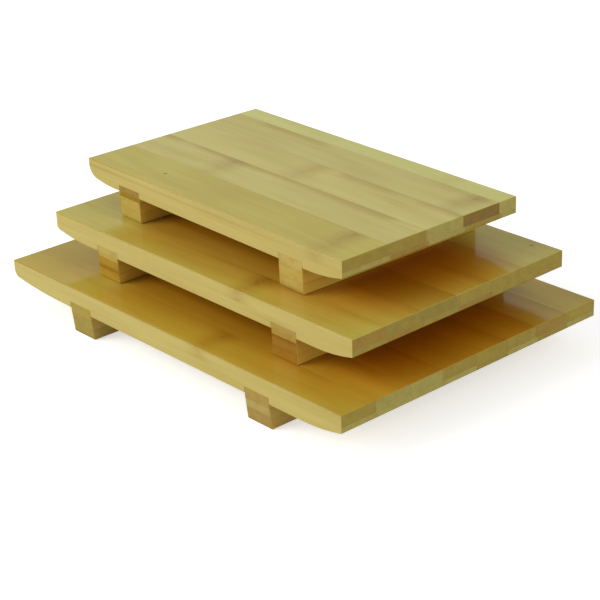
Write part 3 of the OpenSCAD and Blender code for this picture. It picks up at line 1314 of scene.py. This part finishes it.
@dataclass
class Studio:
    """Pale floor, soft light and the camera at the photograph's viewing angle.

    Attributes:
        camera_place: Where the camera stands, in mm.
        camera_aim: The point that it looks at, in mm.
        camera_roll: Its turn about the line of sight, in degrees.
        camera_lens: Its focal length on the sensor below, in mm.
        sensor: Width of the sensor, in mm.
        ambient: Strength of the white surroundings as light.
        key_from: Direction of the soft light from the boards.
        key_share: The light's share of plain daylight on a face that looks at it.
        fill_from: Direction of the weaker light from the boards.
        fill_share: That light's share.
        light_distance: Distance of both lights.
        light_size: Width and height of both lights.
        floor_size: Width of the floor.
        floor_tone: How pale the floor is.
        floor_glow: What the floor adds to be seen as white.
    """

    camera_place: Triple = (664.29, -574.05, 407.59)
    camera_aim: Triple = (45.63, -34.93, 40.0)
    camera_roll: float = -2.218
    camera_lens: float = 105.904
    sensor: float = 36.0
    ambient: float = 0.40
    key_from: Triple = (-0.50, -0.75, 0.45)
    key_share: float = 0.79
    fill_from: Triple = (0.80, 0.10, 0.48)
    fill_share: float = 0.26
    light_distance: float = 4.0
    light_size: float = 2.9
    floor_size: float = 12.0
    floor_tone: float = 0.82
    floor_glow: float = 0.56

    def build(self) -> None:
        """Build the camera, the light and the floor."""
        scene = bpy.context.scene
        scene.view_settings.view_transform = "Standard"
        self.place_camera(scene)
        self.light_surroundings(scene)
        self.place_light("key_light", self.key_from, self.key_share)
        self.place_light("fill_light", self.fill_from, self.fill_share)
        self.lay_floor()

    def place_camera(self, scene: bpy.types.Scene) -> None:
        """Set up the camera and make it the scene's."""
        bpy.ops.object.select_all(action="DESELECT")
        place = Vector(self.camera_place) * MM
        sight = Vector(self.camera_aim) * MM - place
        bpy.ops.object.camera_add(location=place)
        camera = bpy.context.object
        roll = Matrix.Rotation(math.radians(self.camera_roll), 3, "Z")
        camera.rotation_euler = (sight.to_track_quat("-Z", "Y").to_matrix() @ roll).to_euler()
        camera.data.sensor_width = self.sensor
        camera.data.lens = self.camera_lens
        scene.camera = camera

    def seen_as_white(self, graph: Graph) -> bpy.types.NodeSocket:
        """Tell rays that look at the background from rays that gather light, and return 1 for the first."""
        rays = graph.add("ShaderNodeLightPath").outputs
        mirrored = graph.sum("MAXIMUM", rays["Is Glossy Ray"], rays["Is Transmission Ray"])
        return graph.sum("MAXIMUM", rays["Is Camera Ray"], mirrored)

    def light_surroundings(self, scene: bpy.types.Scene) -> None:
        """Make the world plain white to look at and softer as a light."""
        world = bpy.data.worlds.new("white_surroundings")
        graph = fresh_graph(world)
        seen = self.seen_as_white(graph)
        strength = graph.sum("MULTIPLY_ADD", seen, 1.0 - self.ambient, self.ambient)
        background = graph.add("ShaderNodeBackground", {"Color": WHITE, "Strength": strength})
        graph.add("ShaderNodeOutputWorld", {"Surface": background.outputs[0]})
        scene.world = world

    def place_light(self, name: str, direction: Triple, share: float) -> None:
        """Set up a soft light that looks at the boards.

        Args:
            name: Name of the light.
            direction: Its direction from the boards.
            share: Its share of plain daylight on a face that looks at it.
        """
        towards = Vector(direction).normalized()
        bpy.ops.object.light_add(type="AREA", location=towards * self.light_distance)
        light = bpy.context.object
        light.name = name
        light.rotation_euler = towards.to_track_quat("Z", "Y").to_euler()
        light.data.shape = "SQUARE"
        light.data.size = self.light_size
        light.data.energy = share * (math.pi * self.light_distance) ** 2

    def lay_floor(self) -> None:
        """Lay the pale floor, which is seen as white but keeps the boards' shadow and is clear from below."""
        bpy.ops.mesh.primitive_plane_add(size=self.floor_size, location=(0, 0, 0))
        floor = bpy.context.object
        floor.name = "studio_floor"
        material = bpy.data.materials.new("studio_floor")
        graph = fresh_graph(material)
        paint = graph.add("ShaderNodeBsdfDiffuse", {"Color": (self.floor_tone,) * 3})
        seen = self.seen_as_white(graph)
        glow = graph.add(
            "ShaderNodeEmission",
            {"Color": WHITE, "Strength": graph.sum("MULTIPLY", seen, self.floor_glow)},
        )
        lit = graph.add("ShaderNodeAddShader", {0: paint.outputs[0], 1: glow.outputs[0]})
        clear = graph.add("ShaderNodeBsdfTransparent")
        below = graph.add("ShaderNodeNewGeometry").outputs["Backfacing"]
        shown = graph.add("ShaderNodeMixShader", {0: below, 1: lit.outputs[0], 2: clear.outputs[0]})
        graph.add("ShaderNodeOutputMaterial", {"Surface": shown.outputs[0]})
        floor.data.materials.append(material)


# Long grain on the tops of the boards
SMALL_TOP: Colour = (0.60, 0.54, 0.157)
MEDIUM_TOP: Colour = (0.56, 0.495, 0.098)
LARGE_TOP: Colour = (0.54, 0.405, 0.052)

# Painted shade where a board shades the one below: all of it, and the deep part under its right overhang
SHADES = (
    Shade(
        Side.LEFT, low=(20.0, -3.0, 0.0), high=(28.0, -29.0, 0.0),
        low_margin=(11.0, 48.0, 1.0), high_margin=(48.0, 19.0, 1.0), colour=(0.60, 0.245, 0.005),
    ),
    Shade(
        Side.RIGHT, low=(0.0, 21.0, 0.0), high=(0.0, -26.0, 0.0),
        low_margin=(4.0, 18.0, 1.0), high_margin=(22.0, 16.0, 1.0), colour=(0.40, 0.12, 0.002),
    ),
)


def small_board() -> Board:
    """Describe the small board, on top of the stack."""
    return Board(
        name="small",
        turn_degrees=-1.3,
        left_sweep=24 * MM,
        right_sweep=26 * MM,
        left_tip_round=8 * MM,
        back_round=1.5 * MM,
        front_left_round=0.5 * MM,
        back_corner_round=1.6 * MM,
        foot_rake=0.2 * MM,
        top=SMALL_TOP,
        staves={
            Ply.UPPER: (
                Cane(
                    EndGrain.OLIVE, 0.96, knuckle=86, depth=0.8, cast=Cast.GOLDEN, lean=0.05, rind=0.2,
                    speck=(-53.5, -46.2, 0.0), streak=(60.0, 0.0, 2.6),
                ),
                Cane(EndGrain.OLIVE, 1.0, knuckle=-40, lean=0.1, rind=1.0),
                Cane(EndGrain.PALE, 1.02, knuckle=-1, rind=1.0),
                Cane(EndGrain.BROWN, 0.97, knuckle=94, depth=0.9, lean=0.1, rind=1.0),
                Cane(EndGrain.PALE, 1.06, knuckle=64, depth=0.25, cast=Cast.GREEN, lean=0.0),
            ),
            Ply.UNDER: (
                Cane(EndGrain.PALE, 0.99),
                Cane(EndGrain.TAN),
                Cane(EndGrain.PALE),
                Cane(EndGrain.OLIVE),
                Cane(EndGrain.PALE),
            ),
        },
        slats={
            Side.LEFT: (
                Cane(EndGrain.STRAW, 1.08, end_lean=0.6),
                Cane(EndGrain.STRAW, 1.08),
                Cane(EndGrain.BROWN, 1.15),
            ),
            Side.RIGHT: (
                Cane(EndGrain.STRAW, 1.11, end_lean=1.0),
                Cane(EndGrain.STRAW, 1.11),
                Cane(EndGrain.STRAW, 1.09),
            ),
        },
    )


def medium_board() -> Board:
    """Describe the medium board, in the middle of the stack."""
    return Board(
        name="medium",
        turn_degrees=0.0,
        left_sweep=30 * MM,
        right_sweep=26 * MM,
        left_tip_round=5 * MM,
        back_round=0.8 * MM,
        front_left_round=2.0 * MM,
        back_corner_round=1.0 * MM,
        foot_rake=0.4 * MM,
        top=MEDIUM_TOP,
        above="small",
        staves={
            Ply.UPPER: (
                Cane(EndGrain.TAN, 1.0, knuckle=38, depth=1.0),
                Cane(EndGrain.OLIVE, 0.95, knuckle=-70),
                Cane(EndGrain.OLIVE, 0.88, knuckle=20),
                Cane(EndGrain.OLIVE, 1.02, knuckle=-30),
                Cane(EndGrain.OLIVE, 1.0, knuckle=50),
                Cane(EndGrain.OLIVE, 1.03, knuckle=-10, speck=(104.9, 68.5, 0.0)),
            ),
            Ply.UNDER: (
                Cane(EndGrain.OLIVE),
                Cane(EndGrain.TAN),
                Cane(EndGrain.OLIVE),
                Cane(EndGrain.TAN, 0.92),
                Cane(EndGrain.OLIVE),
                Cane(EndGrain.OLIVE, 1.03),
            ),
        },
        slats={
            Side.LEFT: (
                Cane(EndGrain.HONEY, 1.15, end_lean=-0.6),
                Cane(EndGrain.HONEY, 1.05, end_lean=1.0),
                Cane(EndGrain.STRAW, 1.05),
            ),
            Side.RIGHT: (
                Cane(EndGrain.RUSSET, 1.15, end_lean=-0.6),
                Cane(EndGrain.RUSSET, 1.1, end_lean=-1.0),
                Cane(EndGrain.AMBER),
            ),
        },
    )


def large_board() -> Board:
    """Describe the large board, at the bottom of the stack."""
    return Board(
        name="large",
        turn_degrees=0.0,
        left_sweep=44 * MM,
        right_sweep=28 * MM,
        left_tip_round=4.5 * MM,
        back_round=0.8 * MM,
        front_left_round=0.5 * MM,
        back_corner_round=0.8 * MM,
        foot_rake=1.5 * MM,
        top=LARGE_TOP,
        above="medium",
        staves={
            Ply.UPPER: (
                Cane(EndGrain.OLIVE, 0.98, knuckle=29, depth=0.8),
                Cane(EndGrain.PALE, 0.95, knuckle=-80),
                Cane(EndGrain.PALE, 0.98, knuckle=60),
                Cane(EndGrain.OLIVE, 1.0, knuckle=-20),
                Cane(EndGrain.OLIVE, 1.02, knuckle=90),
                Cane(EndGrain.OLIVE, 1.0, knuckle=10),
                Cane(EndGrain.TAN, 1.0, knuckle=-60),
                Cane(EndGrain.OLIVE, 1.07, knuckle=40),
            ),
            Ply.UNDER: (
                Cane(EndGrain.PALE),
                Cane(EndGrain.PALE, 1.03),
                Cane(EndGrain.PALE),
                Cane(EndGrain.PALE, 1.03),
                Cane(EndGrain.OLIVE),
                Cane(EndGrain.PALE),
                Cane(EndGrain.OLIVE),
                Cane(EndGrain.PALE),
            ),
        },
        slats={
            Side.LEFT: (
                Cane(EndGrain.OLIVE, 0.88, end_lean=0.8),
                Cane(EndGrain.OLIVE, 0.91),
                Cane(EndGrain.OLIVE, 1.01),
            ),
            Side.RIGHT: (
                Cane(EndGrain.AMBER, 0.93, end_lean=0.8),
                Cane(EndGrain.STRAW, 0.95, end_lean=0.8),
                Cane(EndGrain.AMBER, 0.95),
            ),
        },
    )


def main() -> None:
    """Build the boards from the bottom of the stack up, and the studio round them."""
    logging.basicConfig(level=logging.INFO, format="%(name)s: %(message)s")
    nodes = BambooNodes(Figure())
    lacquer = Lacquer()
    seeds = count(1)
    for board in (large_board(), medium_board(), small_board()):
        board.build(nodes, lacquer, seeds)
    Studio().build()


if __name__ == "__main__":
    main()
